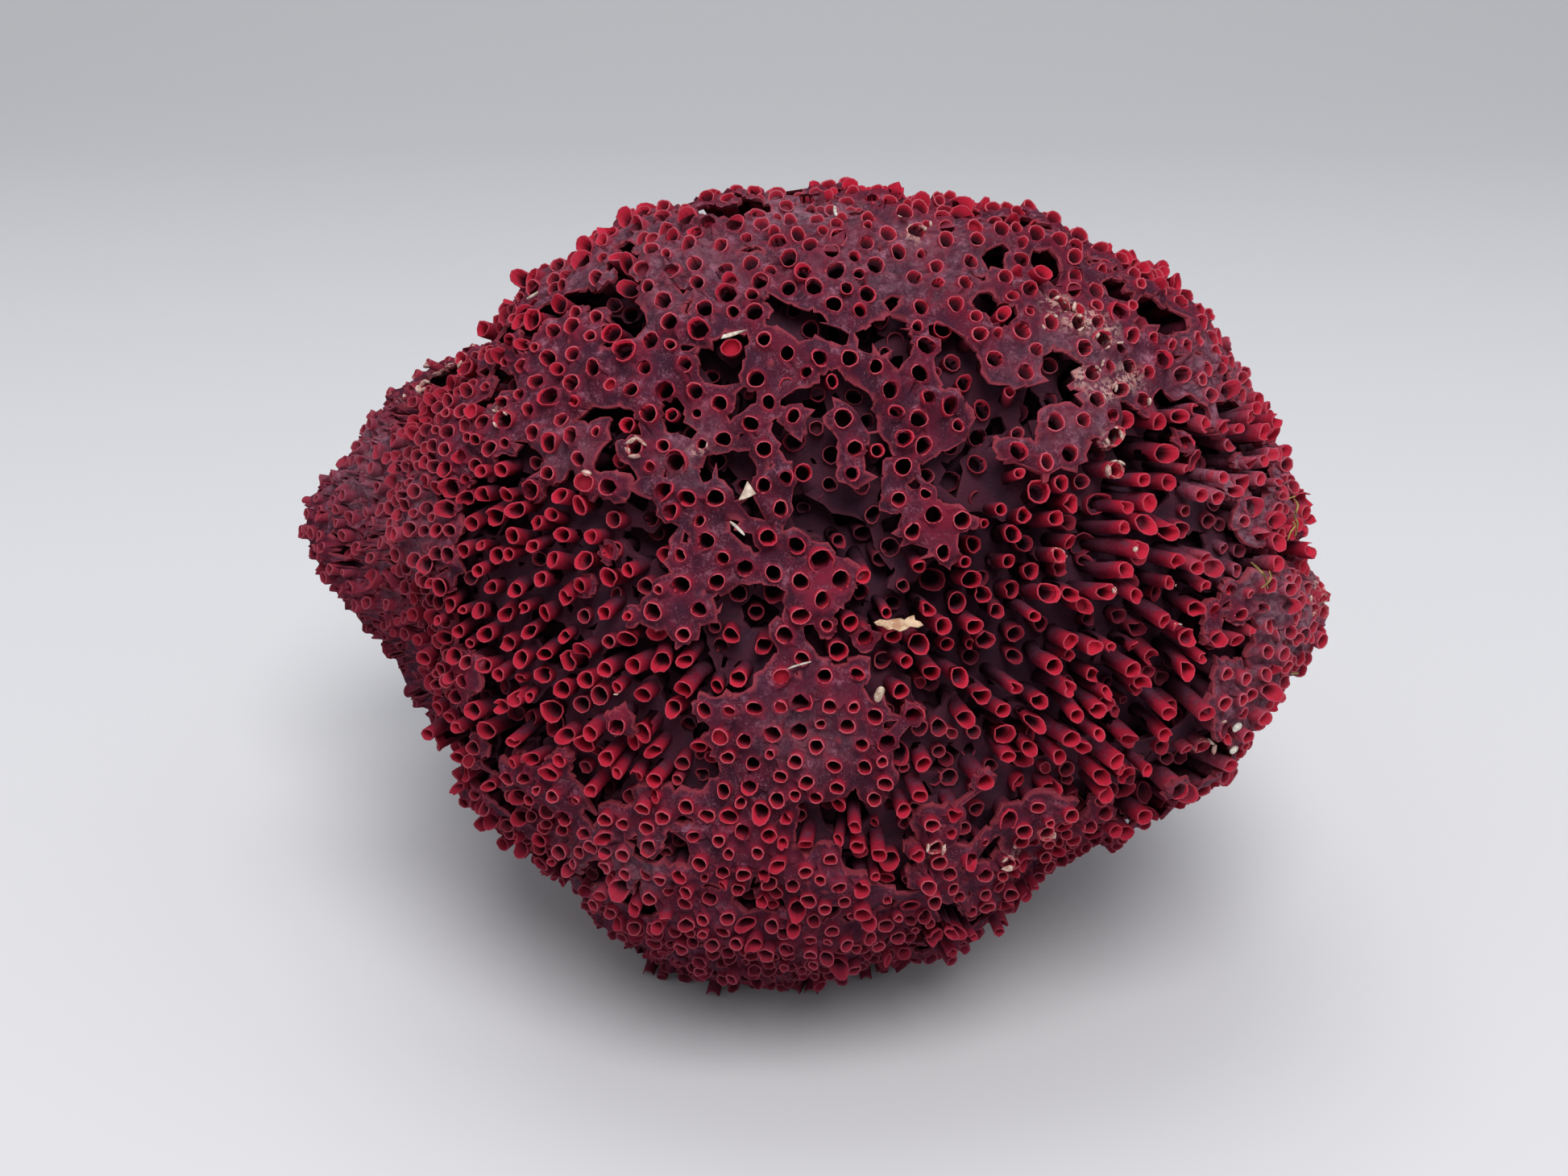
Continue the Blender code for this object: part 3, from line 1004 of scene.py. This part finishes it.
def plate(prefix, depth_of, score_of, tube_score, level_at, through, gaps, sides, fillet,
          climb, thick, depth_shade, room):
    """One cross plate: it climbs each tube in a fillet and is torn away in places."""
    at = T_P - T_D * level_at[:, None]
    held = tube_score > -0.12
    grip = np.where(tube_score > -0.40, np.maximum(tube_score + 0.50, 0.12), tube_score - 0.10)
    walls = index[through]
    parts = {k: [] for k in ("top", "low", "f", "ring", "collar", "way", "hollow_shade")}

    def put(top, low, f, ring, collar, hollow_shade):
        for k, v in (("top", top), ("low", low), ("f", f), ("ring", ring), ("collar", collar),
                     ("way", unit(top - CENTRE)), ("hollow_shade", np.full(len(top), hollow_shade) if np.isscalar(hollow_shade) else hollow_shade)):
            parts[k].append(v)

    for front in (True, False):
        sel = index[through & (tube_score > -1.1) & (seen == front)]
        around = sides if front else min(sides, 5)
        h0 = np.minimum(climb * RNG.uniform(0.6, 1.35, len(sel)),
                        np.maximum((level_at - T_TIP)[sel] * 0.85 - 0.08, 0.04))
        for out, share in ((0.0, 1.0), (0.32, 0.60)) if front and fillet else ((0.0, 1.0),):
            phi = (np.arange(around) + (0.5 if out else 0.0)) / around * math.tau
            rr = T_R[sel][:, None] * 0.93 * oval(sel, phi) + out
            off = (T_E1[sel][:, None] * (rr * np.cos(phi))[..., None]
                   + T_E2[sel][:, None] * (rr * np.sin(phi))[..., None]).reshape(-1, 3)
            own = np.repeat(sel, around)
            q = settle(at[own] + off, T_D[own], depth_of)
            lift = np.repeat(h0, around) * share * (1 + 0.2 * RNG.normal(size=len(own)))
            if out:
                gap, _ = nearest_wall(q, at, walls, own)
                good = gap > 0.23
                q, own, lift = q[good], own[good], lift[good]
            top = q + T_D[own] * lift[:, None]
            low = q - T_D[own] * (thick + (0.05 if out else 0.30))
            put(top, low, grip[own], own if not out else np.full(len(own), -1),
                np.full(len(own), 0.45 if out else 1.0), 0.15 if out else 0.0)

    n, p = scatter(150000)
    score = score_of(n, p)
    face = -(normal(n) @ INTO)
    near = score > np.where(face > -0.12, -2.8, -1.2)
    n, p, score, face = n[near], p[near], np.maximum(score[near], -0.9), face[near]
    r = np.linalg.norm(p - CENTRE, axis=1)
    q = CENTRE + n * (r - depth_of(n, p))[:, None]
    gap, _ = nearest_wall(q, at, walls)
    on_front = face > -0.12
    far = gap > np.where(on_front, 0.62, 0.50)
    n, q, score, gap, on_front = n[far], q[far], score[far], gap[far], on_front[far]
    grasp, _ = nearest_wall(q, at, index[through & (tube_score > -0.40)])
    f = (score - 0.62 + 1.15 * np.exp(-(grasp / 0.85) ** 2)
         + 0.30 * perlin(q, 1.9, (2.0, 3.0, 1.0)) + 0.16 * perlin(q, 0.9, (5.0, 2.0, 8.0)))
    space = Grid(gaps[2])
    gap_here = np.where(on_front, np.where(np.abs(f) < 0.36, gaps[0], gaps[1]), gaps[2])
    chosen = []
    for i, (v, g) in enumerate(zip(q.tolist(), gap_here.tolist())):
        if not space.near(v, g):
            space.add(v)
            chosen.append(i)
    chosen = np.array(chosen)
    n, q, f = n[chosen], q[chosen], f[chosen]
    if room > 0.0:             # clear of the flat cut
        q[:, 2] = np.where(q[:, 2] < room, room + 0.25 * (perlin(q, 3.0) + 0.5), q[:, 2])
    body = (thick + 0.10 * perlin(q, 4.0)) * (0.40 + 0.60 * ease(0.0, 0.35, f))
    away = np.where(q[:, 2:3] < 1.2, [[0, 0, -1.0]], normal(n))
    rise = climb * 0.60 * np.exp(-(gap[chosen] / 0.80) ** 2)
    # the last field is the painted shade of the hollows away from the tubes
    put(q + away * rise[:, None], q - away * body[:, None], f, np.full(len(q), -1),
        0.20 * np.exp(-(gap[chosen] / 0.6) ** 2), ease(0.10, 0.85, gap[chosen]))

    parts = {k: np.concatenate(v) for k, v in parts.items()}
    ring, f = parts.pop("ring"), parts.pop("f")
    tris = delaunay(parts["way"])
    corner = ring[tris]
    tris = tris[~((corner[:, 0] >= 0) & (corner[:, 0] == corner[:, 1]) & (corner[:, 1] == corner[:, 2]))]
    top = parts["top"]
    longest = np.max([np.linalg.norm(top[tris[:, i]] - top[tris[:, j]], axis=1)
                      for i, j in ((0, 1), (1, 2), (2, 0))], axis=0)
    tris = tris[longest < 4.0]
    front = parts["way"] @ INTO < 0.3
    parts["fresh"] = field(FRESH, top, (0.6, 1.1)) * front
    parts["dusty"] = field(DUSTY, top, (0.3, 1.1)) * front
    parts["chalk"] = field(CRUSTS, top, (0.4, 1.2)) * front
    # painted shade: one darkness for the whole plate, more for the deeper plates
    parts["depth_shade"] = np.full(len(top), depth_shade)
    share_out(prefix, closed_plate(tris, f, parts, ring), PLATE)


# the number before the last is each plate's painted shade: the deeper plates are darker
plate("outer_plates", outer_depth, outer_score, T_SCORE, T_S0,
      alive & (T_TIP < T_S0 - 0.02), (0.65, 1.22, 2.3), 8, True, 1.0, 0.34, 0.0, 0.6)
plate("next_plates", next_depth, next_score, T_NEXT, T_SB,
      alive & (T_TIP < T_SB - 0.02) & (T_P[:, 2] > 1.0), (1.10, 1.9, 2.8), 6, False, 0.55, 0.36, 0.68, 0.9)
plate("inner_plates", inner_depth, inner_score, T_INNER, T_S1,
      alive & (T_TIP < T_S1 - 0.02) & (T_P[:, 2] > 3.0), (2.1, 3.0, 3.4), 4, False, 0.25, 0.50, 0.85, 1.2)


# ------------------------------------------------------------------ the dark heart
# painted shade: the inner mass is coloured near black, standing in for the shade deep inside the colony
bm = bmesh.new()
bmesh.ops.create_icosphere(bm, subdivisions=5, radius=1.0)
bm.verts.ensure_lookup_table()
core_n = np.array([v.co.normalized() for v in bm.verts])
core_r = radius(core_n) - 15.5 - 1.5 * perlin(core_n * 50.0, 7.0)
core_p = CENTRE + core_n * core_r[:, None]
core_p[:, 2] = np.maximum(core_p[:, 2], 2.0 + 0.02 * core_p[:, 2])
core_t = np.array([[v.index for v in f.verts] for f in bm.faces])
bm.free()
made.append(make_mesh("colony_heart", core_p, core_t, {}, CORE))


# ------------------------------------------------------------------ dirt and fragments
def crust_material():
    m = Nodes("crust", 0.85, 0.2)
    grain = m.noise(0.35, 4.0, 0.7)
    body = m.mix(m.span(grain, 0.35, 0.65), (0.36, 0.20, 0.17), (0.66, 0.52, 0.44))
    body = m.mix(m.span(m.noise(1.6, 2.0), 0.50, 0.70, 0.0, 0.75), body, (0.32, 0.09, 0.10))
    m.bump(grain, 0.10, 0.9)
    return m.done(body)


def fragment_material():
    m = Nodes("fragment", 0.60, 0.35)
    tone = m.number("tone")
    cloud = m.noise(0.9, 4.0, 0.6)
    tan = m.mix(m.span(cloud, 0.35, 0.65), (0.40, 0.19, 0.10), (0.62, 0.43, 0.27))
    pale = m.mix(m.span(cloud, 0.35, 0.65), (0.30, 0.26, 0.22), (0.62, 0.60, 0.54))
    body = m.mix(tone, tan, pale)
    m.bump(m.noise(0.3, 3.0), 0.05, 0.6)
    return m.done(body)


def fibre_material():
    m = Nodes("fibre", 0.75, 0.2)
    cloud = m.noise(0.8, 3.0, 0.6)
    return m.done(m.mix(m.span(cloud, 0.35, 0.65), (0.11, 0.07, 0.022), (0.33, 0.24, 0.08)))


def on_form(x, y, depth=0.0):
    """Place on the form under a point of the front drawing, and its outward normal."""
    f = LENS / SENSOR * WIDE
    ray = unit(INTO + RIGHT * ((x - WIDE / 2) / f) - UP * ((y - HIGH / 2) / f))
    at = EYE + ray * np.arange(180.0, 330.0, 0.2)[:, None]
    far = np.linalg.norm(at - CENTRE, axis=1)
    n = unit(at - CENTRE)
    hit = int(np.argmax(far < radius(n) - depth))
    return at[hit], normal(n[hit:hit + 1])[0]


def tangents(nn, spin=0.0):
    """Two directions in the surface: one that looks level from the front, one up."""
    a = unit(RIGHT - nn * (RIGHT @ nn))
    b = np.cross(nn, a)
    c, s = math.cos(spin), math.sin(spin)
    return a * c + b * s, b * c - a * s


ball = bmesh.new()
bmesh.ops.create_icosphere(ball, subdivisions=2, radius=1.0)
BALL_V = np.array([v.co[:] for v in ball.verts])
BALL_T = np.array([[v.index for v in f.verts] for f in ball.faces])
ball.free()

TIP_AT = T_P - T_D * T_TIP[:, None]
FRONT_TUBES = index[alive & (T_FACE > -0.25)]


def near_tips(p, count):
    """The tubes whose mouths are nearest to a point."""
    far = np.linalg.norm(TIP_AT[FRONT_TUBES] - p, axis=1)
    return FRONT_TUBES[np.argsort(far)[:count]]


def perch(x, y, lift=0.1):
    """Where a loose bit rests on the tube mouths under a point of the front drawing."""
    p, nn = on_form(x, y, 1.0)
    mouths = near_tips(p, 3)
    depth = (T_TIP[mouths] * (T_D[mouths] @ nn)).min()
    p, nn = on_form(x, y, depth - lift)
    return p, nn


verts, tris, start = [], [], 0
for x, y, rx, ry, number, size in CRUSTS:
    for _ in range(number):
        p, _ = on_form(x + rx * RNG.uniform(-1, 1), y + ry * RNG.uniform(-1, 1), 1.0)
        t = near_tips(p, 1)[0]
        turn = RNG.uniform(0, math.tau)
        out = T_E1[t] * math.cos(turn) + T_E2[t] * math.sin(turn)
        side = np.cross(T_D[t], out)
        s = size * RNG.uniform(0.6, 1.25)
        shape = BALL_V * (1 + 0.35 * perlin(BALL_V, 0.5, RNG.uniform(0, 50, 3)))[:, None]
        at = TIP_AT[t] + out * T_R[t] * RNG.uniform(0.8, 1.05) - T_D[t] * RNG.uniform(-0.05, 0.7)
        verts.append(at + s * (shape[:, :1] * side * RNG.uniform(0.9, 1.7)
                               + shape[:, 1:2] * T_D[t] * RNG.uniform(0.6, 1.2)
                               + shape[:, 2:] * out * RNG.uniform(0.35, 0.6)))
        tris.append(BALL_T + start)
        start += len(BALL_V)
crusts = make_mesh("crusts", np.concatenate(verts), np.concatenate(tris), {}, crust_material())


def chip(outline_xy, thick, at, a, b, nn, curl=0.0):
    """A thin closed flake from its outline, in mm, crowned a little."""
    rim = np.array(outline_xy, float)
    count = len(rim)
    rings, place = (1.0, 0.90, 0.5), []
    for side in (1.0, -1.0):
        for k in (rings if side > 0 else rings[::-1]):
            xy = rim * k
            h = side * thick * (0.5 if k < 1.0 else 0.18) + curl * (xy[:, 0] ** 2)
            place.append(at + a * xy[:, :1] + b * xy[:, 1:] + nn * h[:, None])
    v = np.concatenate(place + [(at + nn * thick * 0.55)[None], (at - nn * thick * 0.55)[None]])
    order = [2, 1, 0, 3 + 2, 3 + 1, 3 + 0]      # top middle, top, rim, rim, low, low middle
    order = [2, 1, 0, 5, 4, 3]
    t, j = [], np.arange(count)
    jn = (j + 1) % count
    for p0, p1 in zip(order[:-1], order[1:]):
        p0, p1 = p0 * count, p1 * count
        t += [np.stack([p0 + j, p1 + j, p1 + jn], 1), np.stack([p0 + j, p1 + jn, p0 + jn], 1)]
    top, low = 6 * count, 6 * count + 1
    t.append(np.stack([top + 0 * j, 2 * count + j, 2 * count + jn], 1))
    t.append(np.stack([low + 0 * j, 3 * count + jn, 3 * count + j], 1))
    return v, np.concatenate(t)


def strand(points, thick, sides=7):
    """A closed thin round stick along points, in mm, thinner at its ends."""
    p = np.array(points, float)
    d = unit(np.gradient(p, axis=0))
    e = unit(np.cross(d, [[0.31, 0.52, 0.79]]))
    f = np.cross(d, e)
    phi = np.arange(sides) / sides * math.tau
    t = np.linspace(0, 1, len(p))
    r = thick * (1 - 0.75 * (2 * t - 1) ** 4) * (1 + 0.12 * perlin(p, 0.7))
    ring = (p[:, None] + r[:, None, None] * (e[:, None] * np.cos(phi)[:, None] + f[:, None] * np.sin(phi)[:, None]))
    v = np.concatenate([ring.reshape(-1, 3), p[:1], p[-1:]])
    j = np.arange(sides)
    jn = (j + 1) % sides
    tri = []
    for k in range(len(p) - 1):
        a, b = k * sides, (k + 1) * sides
        tri += [np.stack([a + j, a + jn, b + jn], 1), np.stack([a + j, b + jn, b + j], 1)]
    m = len(p) * sides
    tri.append(np.stack([m + 0 * j, jn, j], 1))
    tri.append(np.stack([m + 1 + 0 * j, m - sides + j, m - sides + jn], 1))
    return v, np.concatenate(tri)


def curve(at, a, b, nn, xyz, count=14):
    """Points of a smooth line through places given across, up and out from a point."""
    q = np.array([at + a * x + b * y + nn * z for x, y, z in xyz])
    t = np.linspace(0, len(q) - 1.001, count)
    i = np.floor(t).astype(int)
    u = (t - i)[:, None]
    p0, p1, p2, p3 = (q[np.clip(i + k, 0, len(q) - 1)] for k in (-1, 0, 1, 2))
    return 0.5 * (2 * p1 + (p2 - p0) * u + (2 * p0 - 5 * p1 + 4 * p2 - p3) * u ** 2
                  + (3 * p1 - p0 - 3 * p2 + p3) * u ** 3)


bits = []
# a curved tan piece of shell with a notch, wider at its right end
p, nn = perch(1115, 775)
a, b = tangents(nn, -0.05)
bits.append((*chip(((-2.9, 0.10), (-2.2, 0.42), (-1.3, 0.34), (-0.5, 0.52), (0.2, 0.60), (0.9, 0.42),
                    (1.3, 0.86), (1.75, 0.98), (1.9, 0.52), (2.5, 0.40), (2.85, 0.05), (2.3, -0.22),
                    (1.5, -0.10), (0.9, -0.50), (0.2, -0.74), (-0.6, -0.50), (-1.2, -0.62),
                    (-1.9, -0.26), (-2.5, -0.20)), 0.42, p, a * 0.85, b, nn, 0.05), 0.10))
# a small pale piece beside it
p, nn = perch(1092, 862)
a, b = tangents(nn, 1.2)
bits.append((*strand(curve(p, a, b, nn, ((-0.8, 0, 0), (0, 0.1, 0.1), (0.8, 0, 0))), 0.42), 0.55))
# a three-cornered pale flake
p, nn = perch(925, 612)
a, b = tangents(nn, 0.35)
bits.append((*chip(((-1.0, -0.50), (-0.4, -0.62), (0.5, -0.60), (1.1, -0.48), (0.95, 0.0), (0.80, 0.7),
                    (0.65, 1.15), (0.30, 0.80), (-0.1, 0.35), (-0.6, -0.1)), 0.22, p, a * 0.9, b * 0.9, nn), 0.60))
# a thin wedge in the break over the middle
p, nn = perch(910, 415)
a, b = tangents(nn, 0.15)
bits.append((*chip(((-1.3, -0.30), (-0.4, -0.26), (0.5, -0.05), (1.5, 0.28), (0.6, 0.26), (-0.2, 0.20),
                    (-1.0, 0.10)), 0.20, p, a, b, nn), 0.80))
# another above left
p, nn = perch(660, 368)
a, b = tangents(nn, -0.55)
bits.append((*chip(((-1.1, 0.10), (-0.2, 0.30), (0.9, 0.35), (1.2, -0.05), (0.2, -0.18), (-0.7, -0.12)),
                   0.20, p, a, b, nn), 0.75))
# a white spine and two grey slivers
for x, y, spin, length, thick, tone in ((1037, 262, 1.62, 2.7, 0.20, 1.0),
                                        (915, 656, -0.75, 2.0, 0.16, 0.9),
                                        (992, 826, 0.30, 2.5, 0.11, 0.95),
                                        (1535, 903, 0.3, 1.3, 0.34, 1.0),
                                        (1531, 931, 0.3, 1.1, 0.30, 1.0)):
    p, nn = perch(x, y, 0.15)
    a, b = tangents(nn, spin)
    h = length / 2
    bits.append((*strand(curve(p, a, b, nn, ((-h, 0, 0), (-h / 3, 0.06, 0.05), (h / 3, 0.04, 0.05),
                                             (h, 0, 0))), thick), tone))
verts, tris, tones, start = [], [], [], 0
for v, t, tone in bits:
    verts.append(v)
    tris.append(t + start)
    tones.append(np.full(len(v), tone))
    start += len(v)
fragments = make_mesh("fragments", np.concatenate(verts), np.concatenate(tris),
                      {"tone": np.concatenate(tones)}, fragment_material(), 40)

verts, tris, start = [], [], 0
for x, y, path, thick in (
        (1606, 642, ((0.3, 2.4, 0.0), (0.1, 1.3, 0.5), (0.3, 0.2, 0.0), (-0.2, -1.0, 0.4), (0.0, -2.3, -0.1)), 0.13),
        (1600, 655, ((1.0, 1.0, 0.0), (0.4, 0.2, 0.5), (-0.2, -0.6, 0.2), (-0.5, -1.6, -0.1)), 0.10),
        (1565, 713, ((-1.6, 1.2, 0.0), (-0.6, 0.3, 0.4), (0.2, -0.3, 0.4), (1.2, -1.5, -0.1)), 0.13),
        (1571, 720, ((-0.8, -0.9, 0.0), (0.1, 0.0, 0.5), (0.7, 1.0, -0.1)), 0.10),
        (1606, 836, ((-1.0, 0.9, 0.0), (0.0, 0.3, 0.4), (0.8, -0.8, -0.1)), 0.11),
        (1602, 618, ((-0.9, -0.5, 0.0), (0.1, 0.1, 0.4), (1.0, 0.7, 0.0)), 0.09)):
    p, nn = perch(x, y, 0.05)
    a, b = tangents(nn)
    v, t = strand(curve(p, a, b, nn, path, 18), thick)
    verts.append(v)
    tris.append(t + start)
    start += len(v)
fibres = make_mesh("dry_fibres", np.concatenate(verts), np.concatenate(tris), {}, fibre_material())
made += [crusts, fragments, fibres]

# ------------------------------------------------------------------ into the frame
for piece in made:
    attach(piece, "root")
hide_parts("coral_colony")

# ------------------------------------------------------------------ floor, light, camera
FLOOR = Nodes("floor", 0.75, 0.2)
split = FLOOR.add("ShaderNodeSeparateXYZ")
FLOOR.link(FLOOR.mm, split.inputs[0])
# painted shade: the floor and the backdrop sweep get darker towards the back
FLOOR.done(FLOOR.mix(FLOOR.span(split.outputs["Y"], 60.0, 620.0), (0.63, 0.63, 0.65), (0.47, 0.475, 0.49)))
floor_mesh = bpy.data.meshes.new("floor")
bm = bmesh.new()
profile = [(-1.6, 0.0), (0.42, 0.0)]
for k in range(1, 13):
    a = k / 12 * math.pi / 2
    profile.append((0.42 + 0.45 * math.sin(a), 0.45 - 0.45 * math.cos(a)))
profile.append((0.87, 1.6))
rows = []
for x in (-2.2, 2.2):
    rows.append([bm.verts.new((x, y, z - 0.0002)) for y, z in profile])
for k in range(len(profile) - 1):
    bm.faces.new((rows[0][k], rows[1][k], rows[1][k + 1], rows[0][k + 1]))
bm.to_mesh(floor_mesh)
bm.free()
floor_mesh.shade_smooth()
floor_mesh.materials.append(FLOOR.material)
floor = bpy.data.objects.new("floor", floor_mesh)
bpy.context.scene.collection.objects.link(floor)


def area_light(name, place, aim, power, size, colour=(1, 1, 1)):
    light = bpy.data.lights.new(name, "AREA")
    light.shape = "DISK"
    light.size = size
    light.energy = power
    light.color = colour
    lamp = bpy.data.objects.new(name, light)
    lamp.location = place
    lamp.rotation_euler = (Vector(aim) - Vector(place)).to_track_quat("-Z", "Y").to_euler()
    bpy.context.scene.collection.objects.link(lamp)


area_light("key", (0.10, -0.66, 0.94), (0.0, 0.0, 0.04), 9.6, 0.62, (1.0, 0.99, 0.98))
area_light("over", (-0.05, 0.15, 0.95), (0.0, 0.0, 0.05), 2.2, 0.60, (0.98, 0.99, 1.0))
world = bpy.context.scene.world or bpy.data.worlds.new("world")
bpy.context.scene.world = world
world.use_nodes = True
world.node_tree.nodes["Background"].inputs["Color"].default_value = (0.86, 0.88, 0.92, 1.0)
world.node_tree.nodes["Background"].inputs["Strength"].default_value = 0.62

camera_data = bpy.data.cameras.new("camera")
camera_data.lens = LENS
camera_data.sensor_width = SENSOR
camera_data.sensor_fit = "HORIZONTAL"
camera_data.clip_start = 0.01
camera = bpy.data.objects.new("camera", camera_data)
camera.location = Vector(EYE * MM)
camera.rotation_euler = Vector(INTO).to_track_quat("-Z", "Y").to_euler()
bpy.context.scene.collection.objects.link(camera)
bpy.context.scene.camera = camera
bpy.context.scene.view_settings.view_transform = "Standard"

total = sum(len(o.data.polygons) for o in made)
print("triangles:", total, {o.name: len(o.data.polygons) for o in made})
